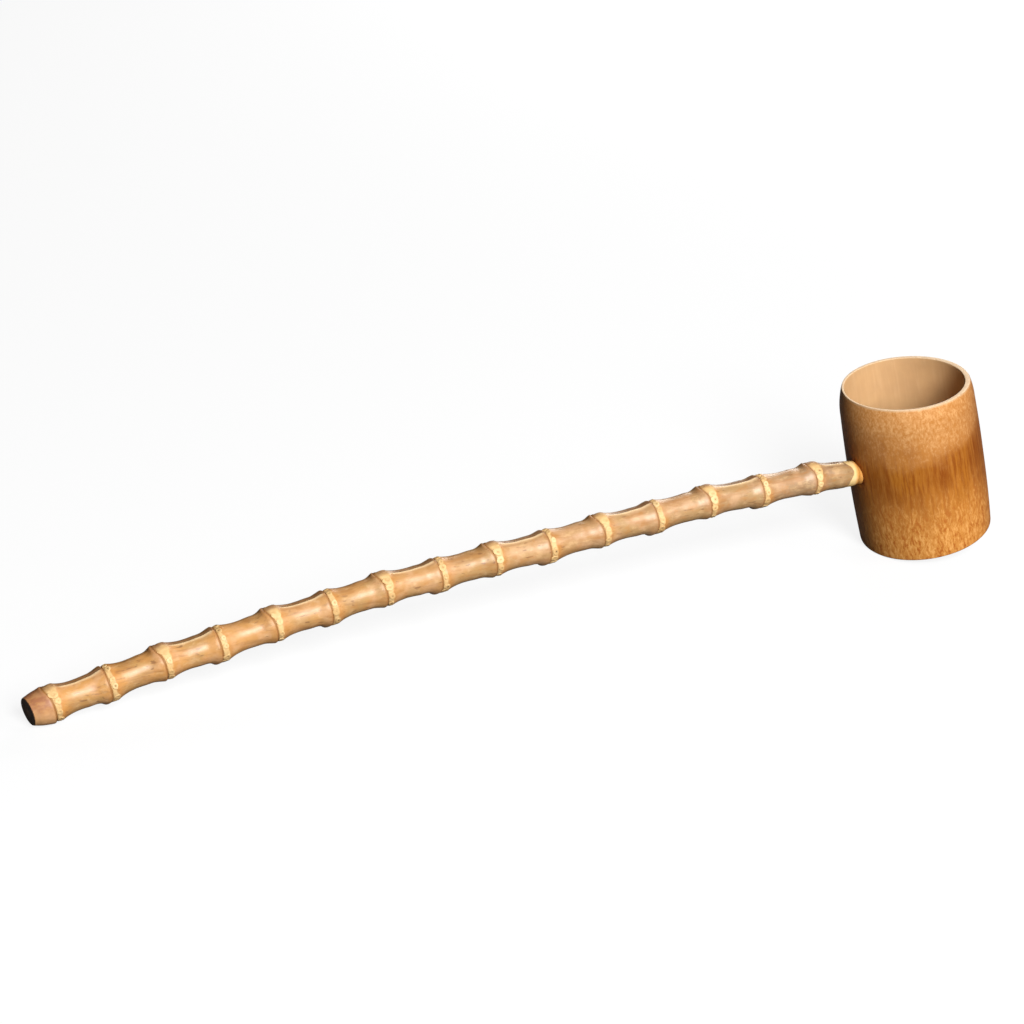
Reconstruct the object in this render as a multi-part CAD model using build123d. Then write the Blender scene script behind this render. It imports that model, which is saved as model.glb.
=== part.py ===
from build123d import *

import os
from math import atan2, cos, degrees, radians, sin, tan

# Water dipper: a bamboo cup, a handle of jointed root cane, and the peg that locks the handle in.
# Everything is drawn with the cup upright and the handle towards -X. At the end the dipper is
# leaned the way it rests on a table, on the edge of its foot and the end of its handle.
# Lengths are in millimetres and angles in degrees.

# Cup
CUP_HEIGHT = 69.7
BELLY_RADIUS = 28.65
BELLY_BOTTOM = 20.0
BELLY_TOP = 42.0
WALL = 3.65
CAVITY_RADIUS = BELLY_RADIUS - WALL
FOOT_INSET = 0.75
FOOT_RADIUS = BELLY_RADIUS - FOOT_INSET
FOOT_BEVEL = 0.6
SHOULDER_INSET = 0.45
SHOULDER_RADIUS = BELLY_RADIUS - SHOULDER_INSET
SHOULDER_DROP = 10.0
RIM_WALL = 0.8
RIM_SLOPE = 5.0
FLOOR_HEIGHT = 5.5
FLOOR_BEVEL = 4.0
HOLLOW_INSET = 3.0
HOLLOW_RADIUS = CAVITY_RADIUS - HOLLOW_INSET
HOLLOW_DEPTH = 2.0
HOLLOW_BEVEL = 2.5

# Where the handle goes through the cup's wall
SEAT_HEIGHT = 38.4
SEAT_RISE = 16.2
TENON_RADIUS = 4.8
TENON_PROUD = 6.5
TENON_BEVEL = 0.6
FIT = 0.1

# Handle, from the cup to its free end
JOINT_COUNT = 15
NECK_LENGTH = 21.4
NECK_RADIUS = 6.1
WHITTLE_LENGTH = 8.5
PITCH_AT_CUP = 24.9
PITCH_AT_END = 22.2
KNEE = 6.4
ARCH = 0.043
ZIGZAG = 1.8
SWAY = 1.7
SWAY_TURN = 60.0
END_LENGTH = 9.7
END_RADIUS = 5.75
END_BEVEL = 0.5

# One joint of the cane: the flared lip, and behind it the band that the root scars stand on.
# Between them one point pulls the curve of the internode in to its waist.
LIP_RADIUS_AT_CUP = 7.15
LIP_RADIUS_AT_END = 7.6
LIP_BEVEL = 0.3
LIP_CURL = 0.9
BAND_WIDTH = 2.8
BAND_SET = 0.75
BAND_SWELL = 0.55
BAND_REACH = 0.9
WAIST_PULL_RADIUS = 4.5
WAIST_PULL_SHARE = 0.42

# Peg through the tenon, inside the cup
PEG_RADIUS = 1.25
PEG_LENGTH = 17.0
PEG_POINT = 4.0
PEG_POINT_RADIUS = 0.7

# How far cutting tools run past what they cut
OVERRUN = 10.0


def cup_outline():
    """Half section of the cup, with radius along X and height along Y."""
    top = CUP_HEIGHT + SHOULDER_RADIUS * tan(radians(RIM_SLOPE))
    return Polyline(
        (0, FLOOR_HEIGHT),
        (0, HOLLOW_DEPTH),
        (HOLLOW_RADIUS - HOLLOW_BEVEL, HOLLOW_DEPTH),
        (HOLLOW_RADIUS, 0),
        (FOOT_RADIUS - FOOT_BEVEL, 0),
        (FOOT_RADIUS, FOOT_BEVEL),
        (BELLY_RADIUS, BELLY_BOTTOM),
        (BELLY_RADIUS, BELLY_TOP),
        (SHOULDER_RADIUS, CUP_HEIGHT - SHOULDER_DROP),
        (CAVITY_RADIUS + RIM_WALL, top),
        (CAVITY_RADIUS, top),
        (CAVITY_RADIUS, FLOOR_HEIGHT + FLOOR_BEVEL),
        (CAVITY_RADIUS - FLOOR_BEVEL, FLOOR_HEIGHT),
        (0, FLOOR_HEIGHT),
    )


def handle_plane(along, rise, start):
    """Frame whose X runs back to the cup, `along` millimetres out from `start` at the given rise."""
    out = Vector(-cos(radians(rise)), 0, sin(radians(rise)))
    up = Vector(sin(radians(rise)), 0, cos(radians(rise)))
    return Plane(origin=start + out * along, x_dir=-out, z_dir=up)


def seat_plane():
    """Frame at the tenon's root, just outside the cup's wall."""
    slack = TENON_RADIUS * tan(radians(SEAT_RISE))
    return handle_plane(slack, SEAT_RISE, Vector(-BELLY_RADIUS, 0, SEAT_HEIGHT))


def tenon_reach():
    """Length of the tenon, from its root to its end inside the cup."""
    through = (BELLY_RADIUS - CAVITY_RADIUS) / cos(radians(SEAT_RISE))
    return TENON_RADIUS * tan(radians(SEAT_RISE)) + through + TENON_PROUD


def make_cup():
    """Cup with its slanted, thinned rim and the hole for the tenon."""
    outline = Plane.XZ * make_face(cup_outline())
    cup = revolve(outline, axis=Axis.Z)
    tilt = radians(RIM_SLOPE)
    rim = Plane(origin=(0, 0, CUP_HEIGHT), z_dir=(sin(tilt), 0, cos(tilt)))
    cup = split(cup, bisect_by=rim, keep=Keep.BOTTOM)
    drill = Cylinder(TENON_RADIUS + FIT, CAVITY_RADIUS, align=(Align.CENTER, Align.CENTER, Align.MIN))
    place = seat_plane().location * Pos(-OVERRUN, 0, 0) * Rot(0, 90, 0)
    return cup - place * drill


def along_handle(at_cup, at_end, joint):
    """Value at a joint for a size that changes evenly from the cup to the free end."""
    return at_cup + (at_end - at_cup) * joint / (JOINT_COUNT - 1)


def lip_radius(joint):
    return along_handle(LIP_RADIUS_AT_CUP, LIP_RADIUS_AT_END, joint)


def bud_side(joint):
    """The cane bends up at its even joints, where the bud is above, and down at the odd ones."""
    return 1 if joint % 2 == 0 else -1


def joint_planes():
    """One frame per joint, with X towards the cup along the internode on that side."""
    planes = [handle_plane(NECK_LENGTH, SEAT_RISE, seat_plane().origin)]
    for joint in range(1, JOINT_COUNT):
        length = along_handle(PITCH_AT_CUP, PITCH_AT_END, joint - 1)
        sway = along_handle(SWAY, 0, joint - 1) * cos(radians(SWAY_TURN * (joint - 1)))
        rise = SEAT_RISE - KNEE - ARCH * joint**2 + ZIGZAG * bud_side(joint) + sway
        planes.append(handle_plane(length, rise, planes[-1].origin))
    return planes


def band_outline(joint):
    """Band of root scars on the cup side of a joint, swelling from under the lip to its own crest."""
    radius = lip_radius(joint) - BAND_SET
    return Polyline((-BAND_REACH, 0), (-BAND_REACH, radius), (BAND_WIDTH, radius + BAND_SWELL))


def internode(joint, length):
    """From the band of one joint to the flared lip at the next joint nearer the cup."""
    band = band_outline(joint)
    pull = (length * WAIST_PULL_SHARE, WAIST_PULL_RADIUS)
    lip = lip_radius(joint - 1)
    crest = (length - LIP_CURL, lip)
    outline = Curve() + [
        band,
        Bezier(band @ 1, pull, crest),
        Polyline(crest, (length, lip - LIP_BEVEL), (length, 0), (-BAND_REACH, 0)),
    ]
    return revolve(make_face(outline), axis=Axis.X)


def neck():
    """Last internode, whittled down to the tenon that goes through the cup's wall."""
    band = band_outline(0)
    shaved = (NECK_LENGTH - WHITTLE_LENGTH, NECK_RADIUS)
    root = (NECK_LENGTH, TENON_RADIUS)
    end = NECK_LENGTH + tenon_reach()
    outline = Curve() + [
        band,
        Line(band @ 1, shaved),
        TangentArc(shaved, root, tangent=(1, 0)),
        Polyline(
            root,
            (end - TENON_BEVEL, TENON_RADIUS),
            (end, TENON_RADIUS - TENON_BEVEL),
            (end, 0),
            (-BAND_REACH, 0),
        ),
    ]
    return revolve(make_face(outline), axis=Axis.X)


def free_end():
    """Tapered, cut end of the cane beyond the last joint."""
    lip = lip_radius(JOINT_COUNT - 1)
    outline = Polyline(
        (0, 0),
        (-END_LENGTH, 0),
        (-END_LENGTH, END_RADIUS - END_BEVEL),
        (END_BEVEL - END_LENGTH, END_RADIUS),
        (-LIP_CURL, lip),
        (0, lip - LIP_BEVEL),
        (0, 0),
    )
    return revolve(make_face(outline), axis=Axis.X)


def make_handle():
    """The whole cane as one piece, from its free end to its tenon."""
    planes = joint_planes()
    handle = planes[0].location * neck()
    for joint in range(1, JOINT_COUNT):
        length = (planes[joint].origin - planes[joint - 1].origin).length
        handle += planes[joint].location * internode(joint, length)
    return handle + planes[-1].location * free_end()


def peg_place():
    """The peg stands against the wall inside the cup, across the tenon."""
    inward = BELLY_RADIUS - CAVITY_RADIUS + PEG_RADIUS + FIT
    height = SEAT_HEIGHT - inward * tan(radians(SEAT_RISE))
    return Pos(-BELLY_RADIUS + inward, 0, height)


def make_peg():
    half = PEG_LENGTH / 2
    outline = Polyline(
        (0, half),
        (PEG_RADIUS, half),
        (PEG_RADIUS, PEG_POINT - half),
        (PEG_POINT_RADIUS, -half),
        (0, -half),
        (0, half),
    )
    return peg_place() * revolve(Plane.XZ * make_face(outline), axis=Axis.Z)


def peg_hole():
    return peg_place() * Cylinder(PEG_RADIUS + FIT, PEG_LENGTH)


def lean():
    """Angle at which both the foot's edge and the free end of the handle touch the table."""
    last = joint_planes()[-1]
    foot = Vector(FOOT_BEVEL - FOOT_RADIUS, 0, 0)
    lip = last.from_local_coords(Vector(-LIP_CURL, 0, -lip_radius(JOINT_COUNT - 1)))
    end = last.from_local_coords(Vector(END_BEVEL - END_LENGTH, 0, -END_RADIUS))
    return degrees(min(atan2(point.Z - foot.Z, foot.X - point.X) for point in (lip, end)))


def make_dipper():
    """The three pieces, leaned and stood on the table with the origin under their middle."""
    pieces = {
        "cup": make_cup(),
        "handle": make_handle() - peg_hole(),
        "peg": make_peg(),
    }
    leaned = {name: Rot(0, -lean(), 0) * piece for name, piece in pieces.items()}
    box = Compound(list(leaned.values())).bounding_box()
    middle = box.center()
    return {name: Pos(-middle.X, -middle.Y, -box.min.Z) * piece for name, piece in leaned.items()}


os.makedirs("parts", exist_ok=True)
for name, piece in make_dipper().items():
    export_step(piece, f"parts/{name}.step")
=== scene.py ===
import random
from math import atan2, cos, exp, pi, radians, sin, tan

import bmesh
import bpy
from bpy.props import FloatProperty, FloatVectorProperty, IntProperty, PointerProperty
from mathutils import Matrix, Vector, noise
from mathutils.geometry import interpolate_bezier


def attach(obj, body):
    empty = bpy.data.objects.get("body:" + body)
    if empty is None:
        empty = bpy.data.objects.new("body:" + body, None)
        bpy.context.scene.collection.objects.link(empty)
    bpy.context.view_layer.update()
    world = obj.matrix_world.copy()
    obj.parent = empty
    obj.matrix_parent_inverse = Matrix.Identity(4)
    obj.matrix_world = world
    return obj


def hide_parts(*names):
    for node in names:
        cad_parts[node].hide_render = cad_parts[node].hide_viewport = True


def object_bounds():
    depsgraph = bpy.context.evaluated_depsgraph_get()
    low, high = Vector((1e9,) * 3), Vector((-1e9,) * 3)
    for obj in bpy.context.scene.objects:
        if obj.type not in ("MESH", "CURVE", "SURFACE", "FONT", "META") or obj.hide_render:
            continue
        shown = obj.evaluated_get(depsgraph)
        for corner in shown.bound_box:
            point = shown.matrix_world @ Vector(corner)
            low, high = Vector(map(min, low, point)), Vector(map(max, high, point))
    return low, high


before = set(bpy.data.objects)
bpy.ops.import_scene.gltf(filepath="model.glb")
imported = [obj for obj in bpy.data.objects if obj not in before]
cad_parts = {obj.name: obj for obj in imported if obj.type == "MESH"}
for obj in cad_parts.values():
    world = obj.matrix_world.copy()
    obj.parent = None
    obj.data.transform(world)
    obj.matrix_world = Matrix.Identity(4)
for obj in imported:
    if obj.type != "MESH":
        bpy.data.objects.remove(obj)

bl_info = {
    "name": "Bamboo Water Dipper",
    "version": (1, 0, 0),
    "blender": (4, 5, 0),
    "location": "View3D > Sidebar > Dipper",
    "description": "Builds a water dipper with a bamboo cup on a handle of jointed root cane",
    "category": "Object",
}

SOLID_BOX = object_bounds()
MM = 0.001

# Angle from a bud over which its lip draws back
SWEEP_TURN = 0.62
# Where a band comes out from under its lip
BAND_START = 0.0006
# Mask of the whittled end where the skin is whole, and where the wood is bare
WHOLE = -20.0
BARE = 3.0
# Rings of a root scar from its edge inwards: width as a share of its radius, rise, and darkness
SCAR_RINGS = (
    (0.10, 0.00007, 0.0), (0.16, 0.00002, 0.0), (0.22, -0.00002, 0.0), (0.14, -0.00003, 0.45),
    (0.14, -0.00002, 0.20), (0.08, -0.00007, 1.0),
)
# What the cane's material reads from its mesh
MASKS = (
    "band", "tone", "pit", "seam", "flush", "lip", "groove", "ridge", "bud", "taper", "cut",
    "whittle", "near_wall",
)
# Area lights: name, place, width and height, watts
LAMPS = (
    ("key", (-0.04, -1.27, 0.88), (0.5, 0.8), 40.0),
    ("side", (1.05, -0.80, 0.80), (0.6, 0.6), 7.0),
    ("back", (0.95, 0.95, 0.50), (0.8, 0.8), 13.0),
)
LAMP_AIM = (0.05, 0, 0.03)
# How bright the world looks to the camera, and how much light it gives
WORLD_SEEN = 0.86
WORLD_LIGHT = 0.006
CAMERA_PLACE = (-0.476439, -0.978553, 0.532542)
CAMERA_DOWN = 24.001
CAMERA_TURN = -25.491
CAMERA_LENS = 105.469


# Sizes and colours that a user would change

def length(description, default):
    return FloatProperty(description=description, default=default, unit="LENGTH", precision=5)


def angle(description, default):
    return FloatProperty(description=description, default=radians(default), subtype="ANGLE")


def place(description, default):
    return FloatVectorProperty(
        description=description, default=default, size=3, subtype="XYZ", unit="LENGTH",
    )


def tint(description, default):
    return FloatVectorProperty(
        description=description, default=default, size=3, subtype="COLOR", min=0, max=1,
    )


class DipperCup(bpy.types.PropertyGroup):
    """Sizes of the cup, drawn upright on its foot."""
    foot: place("Middle of the foot, where the cup stands before it leans", (0.185615, 0.0, 0.005792))
    lean: angle("How far the cup leans towards the handle", 12.2485)
    height: length("Height of the rim at the cup's axis", 0.0697)
    foot_radius: length("Outer radius at the foot", 0.0279)
    foot_bevel: length("Worn edge of the foot", 0.0006)
    belly_radius: length("Widest outer radius", 0.02865)
    belly_bottom: length("Height of the lower point that pulls the belly out", 0.018)
    belly_top: length("Height of the upper point that pulls the belly out", 0.040)
    shoulder_radius: length("Outer radius where the wall starts to thin", 0.0282)
    shoulder_drop: length("How far below the rim the wall starts to thin", 0.010)
    cavity_radius: length("Inner radius", 0.025)
    rim_wall: length("Thickness of the wall where it would end above the rim", 0.0008)
    rim_slope: angle("How far the rim is cut off square", 5.0)
    rim_bevel: length("Rounding of the rim's edges", 0.00035)
    unevenness: length("How far scraping dips below a true circle", 0.00011)
    floor_height: length("Height of the floor inside", 0.0055)
    floor_corner: length("Rounding between floor and wall", 0.005)
    hollow_radius: length("Radius of the hollow under the foot", 0.022)
    hollow_depth: length("Depth of the hollow under the foot", 0.002)


class DipperCane(bpy.types.PropertyGroup):
    """Sizes of the handle, a length of jointed root cane."""
    joints: IntProperty(description="Number of joints", default=15, min=2)
    seat: place("Where the handle's axis meets the cup's widest wall", (0.149470, 0.0, 0.037239))
    seat_rise: angle("Slope of the handle where it enters the cup", 3.9515)
    tenon_radius: length("Radius of the tenon in the cup's wall", 0.0048)
    tenon_reach: length("Length of the tenon from its root", 0.01174)
    neck_length: length("From the first joint to the tenon's root", 0.0214)
    neck_radius: length("Radius of the neck before it is whittled", 0.0058)
    whittle_length: length("Length of the bare, whittled end of the neck", 0.0062)
    shoulder: length("Length over which the neck rounds in to the tenon", 0.0026)
    pitch_at_cup: length("Distance between joints near the cup", 0.0249)
    pitch_at_end: length("Distance between joints near the free end", 0.0222)
    knee: angle("Turn of the cane at its first joint", 6.4)
    arch: angle("Growth of the turn with the square of the joint's number", 0.043)
    zigzag: angle("Turn to alternate sides at each joint", 1.8)
    sway: angle("Slow swing of the slope, which fades towards the free end", 1.7)
    sway_turn: angle("Share of a full swing at each joint", 60.0)
    end_length: length("Length of the tapered free end", 0.0097)
    end_radius: length("Radius of the cut end", 0.00575)
    end_slant: length("How far the cut runs back across the end", 0.0016)
    lip_at_cup: length("Radius of the joints' lips near the cup", 0.00715)
    lip_at_end: length("Radius of the joints' lips near the free end", 0.0076)
    lip_bevel: length("How far a lip drops to its seam", 0.0003)
    lip_curl: length("Length of that rounding", 0.0009)
    band_width: length("Width of the band of root scars", 0.0028)
    band_set: length("How far below the lip the band starts", 0.00075)
    band_swell: length("How far the band rises to its crest", 0.00055)
    band_reach: length("How far the band starts behind the lip", 0.0009)
    waist_pull: length("Radius that the curve of an internode is pulled towards", 0.0045)
    waist_share: FloatProperty(description="Where along an internode that pull lies", default=0.42)
    bud_sweep: length("How far a lip draws back around its bud", 0.0021)
    sweep_length: length("Length before a lip over which it draws back", 0.0045)
    bud_height: length("Height of a bud above its band", 0.0007)
    groove_width: length("Width of the groove along an internode above its bud", 0.0018)
    groove_depth: length("Depth of that groove", 0.0005)
    ridge_height: length("Height of the ridge beside that groove", 0.00012)
    facet_depth: length("Depth of the knife's facets at the whittled end", 0.00018)
    bend_ease: length("Half the length over which the cane turns at a joint", 0.0022)
    hump: length("How far the cane dips behind a lip on its bud's side", 0.00065)
    unevenness: length("How far the skin dips below a true circle", 0.0002)
    scars: IntProperty(description="Root scars around a joint", default=10, min=3)
    scar_radius: length("Radius of a root scar", 0.0017)
    scar_place: length("From the seam to the middle of a root scar", 0.00185)
    scar_root: length("How deep a root scar is set into its band", 0.0004)


class DipperPeg(bpy.types.PropertyGroup):
    """Sizes of the peg that locks the tenon inside the cup."""
    radius: length("Radius of the peg", 0.00125)
    point_radius: length("Radius of the peg's point", 0.0007)
    point: length("Length of the tapered point", 0.004)
    length: length("Length of the peg", 0.017)
    inset: length("From the cup's widest wall to the peg's axis, square to the cup's axis", 0.005)
    drop: length("From the handle's seat down to the peg's middle, along the cup's axis", 0.00145)
    fit: length("Clearance around the peg and the tenon", 0.0001)


class DipperColours(bpy.types.PropertyGroup):
    """Colours of the bamboo and of the stage."""
    skin_end: tint("Skin of the cane near its free end", (0.65, 0.335, 0.110))
    skin_cup: tint("Skin of the cane near the cup", (0.46, 0.295, 0.155))
    band: tint("Band of root scars", (0.82, 0.565, 0.265))
    flush: tint("Warm skin beside the bands", (0.62, 0.27, 0.065))
    umber: tint("Seams, pits and old dirt", (0.075, 0.033, 0.012))
    end_skin: tint("Skin of the tapered free end", (0.42, 0.180, 0.090))
    cut: tint("Sawn face of the free end", (0.060, 0.030, 0.016))
    whittled: tint("Bare wood of the whittled tenon", (0.92, 0.68, 0.31))
    wall: tint("Scraped outside of the cup", (0.32, 0.105, 0.011))
    wall_pale: tint("Shaved shoulder of the cup", (0.63, 0.325, 0.115))
    wall_red: tint("Short fibres near the cup's foot", (0.44, 0.125, 0.018))
    inside: tint("Inside of the cup", (0.54, 0.325, 0.152))
    rim: tint("Sawn rim and foot", (0.64, 0.44, 0.26))
    floor: tint("Floor and backdrop", (0.86, 0.86, 0.86))


# Shades that vary the colours above
CUP_SIDE = (0.31, 0.215, 0.140)
PINK_MOTTLE = (0.74, 0.46, 0.28)
OLIVE_PATCH = (0.45, 0.29, 0.115)
RUST_SPOT = (0.52, 0.240, 0.070)
CREAM_SPOT = (0.80, 0.55, 0.30)
BROWN_GRAIN = (0.34, 0.180, 0.080)
BROWN_STREAK = (0.42, 0.195, 0.060)
DARK_DASH = (0.22, 0.105, 0.050)
# Brown lip edge, also used as painted shade behind a lip on its bud's side
BROWN_LIP_AND_SHADE = (0.36, 0.150, 0.045)
# Paler colour of the free end towards its bottom
END_PALE_LOW = (0.76, 0.44, 0.22)
# Painted shade in the groove above a bud
GROOVE_SHADE = (0.10, 0.043, 0.020)
# Painted highlight along the ridge beside a groove
RIDGE_HIGHLIGHT = (0.95, 0.73, 0.45)
PALE_WOOD = (0.95, 0.78, 0.46)
# Darker orange of the tenon towards the cup wall
ORANGE_NEAR_WALL = (0.74, 0.33, 0.055)
BAND_SPOT = (0.68, 0.42, 0.17)
PALE_BAND = (0.90, 0.72, 0.42)
DARK_BAND = (0.56, 0.34, 0.13)
BUD = (0.33, 0.160, 0.075)
PIT_RING = (0.40, 0.225, 0.075)
# Dark seam line with the shadow of the lip painted into it
SEAM_AND_SHADOW = (0.33, 0.150, 0.040)
CUT_RING = (0.13, 0.065, 0.035)
GOLD_WALL = (0.43, 0.160, 0.016)
DARK_FIBRE = (0.25, 0.062, 0.004)
PALE_FIBRE = (0.56, 0.255, 0.055)
FINE_FIBRE = (0.48, 0.215, 0.050)
DARK_FLECK = (0.49, 0.200, 0.035)
PALE_FLECK = (0.80, 0.48, 0.21)
LOW_WALL = (0.70, 0.325, 0.074)
PALE_FLAME = (0.92, 0.52, 0.18)
INSIDE_CLOUD = (0.43, 0.25, 0.118)
INSIDE_FIBRE = (0.70, 0.47, 0.27)
# Darker colour towards the floor inside the cup
DARK_LOW_INSIDE = (0.33, 0.175, 0.075)
PALE_RIM = (0.72, 0.54, 0.34)
FIBRE_END = (0.33, 0.165, 0.06)
PEG_FIBRE = (0.46, 0.27, 0.10)
FLOOR_BOUNCE = (0.09, 0.09, 0.09)
PAPER_GRAIN = (0.80, 0.80, 0.80)
WHITE = (1, 1, 1)


# Materials

class Wire:
    """One output of a node. Arithmetic on it adds Math nodes to its finish."""

    def __init__(self, finish, socket):
        self.finish = finish
        self.socket = socket

    def __add__(self, other):
        return self.finish.math("ADD", self, other)

    def __sub__(self, other):
        return self.finish.math("SUBTRACT", self, other)

    def __mul__(self, other):
        return self.finish.math("MULTIPLY", self, other)

    def __radd__(self, other):
        return self.finish.math("ADD", other, self)

    def __rsub__(self, other):
        return self.finish.math("SUBTRACT", other, self)


class Finish:
    """A material built from nodes."""

    def __init__(self, name):
        self.material = bpy.data.materials.new(name)
        self.material.use_nodes = True
        self.tree = self.material.node_tree
        self.tree.nodes.clear()

    def node(self, kind, settings, values, output=0):
        """Add a node, set it up, feed its sockets and give one of its outputs."""
        node = self.tree.nodes.new(kind)
        for name, setting in settings.items():
            setattr(node, name, setting)
        for name, value in values.items():
            if isinstance(value, Wire):
                self.tree.links.new(value.socket, node.inputs[name])
            elif hasattr(value, "__len__") and len(value) == 3 and node.inputs[name].type == "RGBA":
                node.inputs[name].default_value = (*value, 1)
            else:
                node.inputs[name].default_value = value
        return Wire(self, node.outputs[output]) if len(node.outputs) else None

    def math(self, operation, *values):
        return self.node("ShaderNodeMath", {"operation": operation}, dict(enumerate(values)))

    def step(self, value, low, high):
        """0 below `low` and 1 above `high`, or the other way round where low is the larger."""
        return self.node(
            "ShaderNodeMapRange",
            {"interpolation_type": "SMOOTHSTEP", "clamp": True},
            {"Value": value, "From Min": low, "From Max": high},
        )

    def mix(self, share, first, second):
        """Colour between two colours."""
        settings = {"data_type": "RGBA", "clamp_factor": True}
        return self.node("ShaderNodeMix", settings, {0: share, 6: first, 7: second}, 2)

    def layered(self, colour, layers):
        """Mix one colour after another over the first, each by its own share."""
        for share, shade in layers:
            colour = self.mix(share, colour, shade)
        return colour

    def place(self, location=(0, 0, 0), rotation=(0, 0, 0)):
        """Object coordinates, turned and then moved."""
        here = self.node("ShaderNodeTexCoord", {}, {}, "Object")
        values = {"Vector": here, "Location": location, "Rotation": rotation}
        return self.node("ShaderNodeMapping", {}, values)

    def stretch(self, vector, scale):
        return self.node("ShaderNodeVectorMath", {"operation": "MULTIPLY"}, {0: vector, 1: scale})

    def shift(self, vector, offset):
        return self.node("ShaderNodeVectorMath", {"operation": "ADD"}, {0: vector, 1: offset})

    def axis(self, vector, name):
        return self.node("ShaderNodeSeparateXYZ", {}, {"Vector": vector}, name)

    def noise(self, vector, scale, detail=2.0, roughness=0.5, output="Fac"):
        values = {"Vector": vector, "Scale": scale, "Detail": detail, "Roughness": roughness}
        return self.node("ShaderNodeTexNoise", {}, values, output)

    def stretched(self, vector, scale, detail=2.0, roughness=0.5):
        """Noise with its own scale along each axis."""
        return self.noise(self.stretch(vector, scale), 1.0, detail, roughness)

    def attribute(self, name):
        return self.node("ShaderNodeAttribute", {"attribute_name": name}, {}, "Fac")

    def bump(self, height, distance, strength=1.0):
        values = {"Height": height, "Distance": distance, "Strength": strength}
        return self.node("ShaderNodeBump", {}, values, "Normal")

    def finish(self, **values):
        """Feed the surface shader and give the material."""
        sockets = {
            name.replace("_", " ").title().replace("Ior", "IOR"): value for name, value in values.items()
        }
        surface = self.node("ShaderNodeBsdfPrincipled", {}, sockets)
        self.node("ShaderNodeOutputMaterial", {}, {"Surface": surface})
        return self.material


def cane_finish(colours, cane):
    """Hard semi-gloss skin, pale bands with dark pits, and the bare whittled end."""
    finish = Finish("cane")
    mask = {name: finish.attribute(name) for name in MASKS}
    here = finish.place()
    along = finish.axis(here, "X")
    fibres = finish.stretch(here, (45, 620, 620))
    grain = finish.noise(fibres, 1.0, 3, 0.6)
    mottle = finish.noise(here, 170, 3, 0.55)
    patch = finish.stretched(here, (60, 110, 110), 2)
    spots = finish.stretched(here, (260, 420, 420), 3, 0.6)
    streak = finish.stretched(here, (55, 330, 330), 3, 0.55)
    dashes = finish.stretched(here, (230, 900, 900), 2)
    rings = finish.stretched(here, (200, 2600, 2600), 2)
    height = finish.axis(here, "Z") + finish.noise(here, 500, 2) * 0.006
    cup_side = finish.step(along, cane.seat[0] - 0.055, cane.seat[0] - 0.010)
    flush = mask["flush"] * (0.35 + finish.step(patch, 0.4, 0.65) * 0.4)
    # The free end is darker and redder towards its top, paler towards its bottom
    end_by_height = finish.mix(finish.step(height, 0.0075, 0.0145), END_PALE_LOW, colours.end_skin)
    edge = mask["whittle"] + (finish.noise(fibres, 0.6, 2) - 0.5) * 1.1
    bare = finish.step(edge, 0.0, 0.35)
    wood = finish.layered(colours.whittled, (
        (finish.step(grain, 0.4, 0.75) * 0.5, PALE_WOOD),
        # Darker orange towards the cup wall
        (mask["near_wall"] * 0.85, ORANGE_NEAR_WALL),
    ))
    band = finish.layered(colours.band, (
        (finish.step(finish.noise(here, 620, 3), 0.42, 0.64) * 0.5, BAND_SPOT),
        (finish.step(mask["tone"], 0.55, 1.0) * 0.5, PALE_BAND),
        (finish.step(mask["tone"], 0.45, 0.0) * 0.6, DARK_BAND),
    ))
    skin = finish.mix(finish.step(along, SOLID_BOX[0][0], cane.seat[0]), colours.skin_end, colours.skin_cup)
    skin = finish.layered(skin, (
        (cup_side * 0.6, CUP_SIDE),
        (finish.step(mottle, 0.42, 0.62) * 0.40, PINK_MOTTLE),
        (finish.step(patch, 0.48, 0.62) * 0.50, OLIVE_PATCH),
        (finish.step(spots, 0.52, 0.66) * 0.40, RUST_SPOT),
        (finish.step(spots, 0.46, 0.34) * 0.35, CREAM_SPOT),
        (finish.step(grain, 0.50, 0.72) * 0.45, BROWN_GRAIN),
        (finish.step(streak, 0.52, 0.68) * 0.55, BROWN_STREAK),
        (finish.step(dashes, 0.60, 0.70) * finish.step(patch, 0.42, 0.56) * 0.65, DARK_DASH),
        (flush, colours.flush),
        # Brown lip edge, with painted shade behind the lip on its bud's side
        (mask["lip"] * 0.7, BROWN_LIP_AND_SHADE),
        (mask["taper"] * (0.55 + finish.step(spots, 0.42, 0.58) * 0.4), end_by_height),
        # Painted shade in the groove above a bud, and a painted highlight along its near ridge
        (mask["groove"] * 0.8, GROOVE_SHADE),
        (mask["ridge"] * 0.9, RIDGE_HIGHLIGHT),
        (bare, wood),
        (mask["band"], band),
        (mask["bud"] * (0.35 + finish.step(spots, 0.40, 0.55) * 0.5), BUD),
        (finish.step(mask["pit"], 0.05, 0.55) * 0.6, PIT_RING),
        (finish.step(mask["pit"], 0.70, 0.95) * 0.85, colours.umber),
        # Dark seam line with the lip's painted shadow
        (mask["seam"] * 0.85, SEAM_AND_SHADOW),
        (mask["cut"], finish.mix(finish.step(rings, 0.45, 0.7), colours.cut, CUT_RING)),
    ))
    dull = mask["band"] * 0.25 + mask["cut"] * 0.35 + bare * 0.25 + mask["lip"] * 0.2
    return finish.finish(
        base_color=skin,
        roughness=0.33 + mottle * 0.16 + dull,
        normal=finish.bump(grain * 0.6 + mottle * 0.4, 0.00014, 0.5),
        specular_ior_level=0.6,
        coat_weight=1.0,
        coat_ior=1.06,
        coat_roughness=0.3,
        coat_tint=(0.88, 0.84, 0.79, 1.0),
    )


def cup_place(finish, cup):
    """Coordinates with the cup's axis along Z and its foot at zero."""
    turn = Matrix.Rotation(cup.lean, 3, "Y")
    return finish.place(-(turn @ Vector(cup.foot)), (0, cup.lean, 0))


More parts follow.
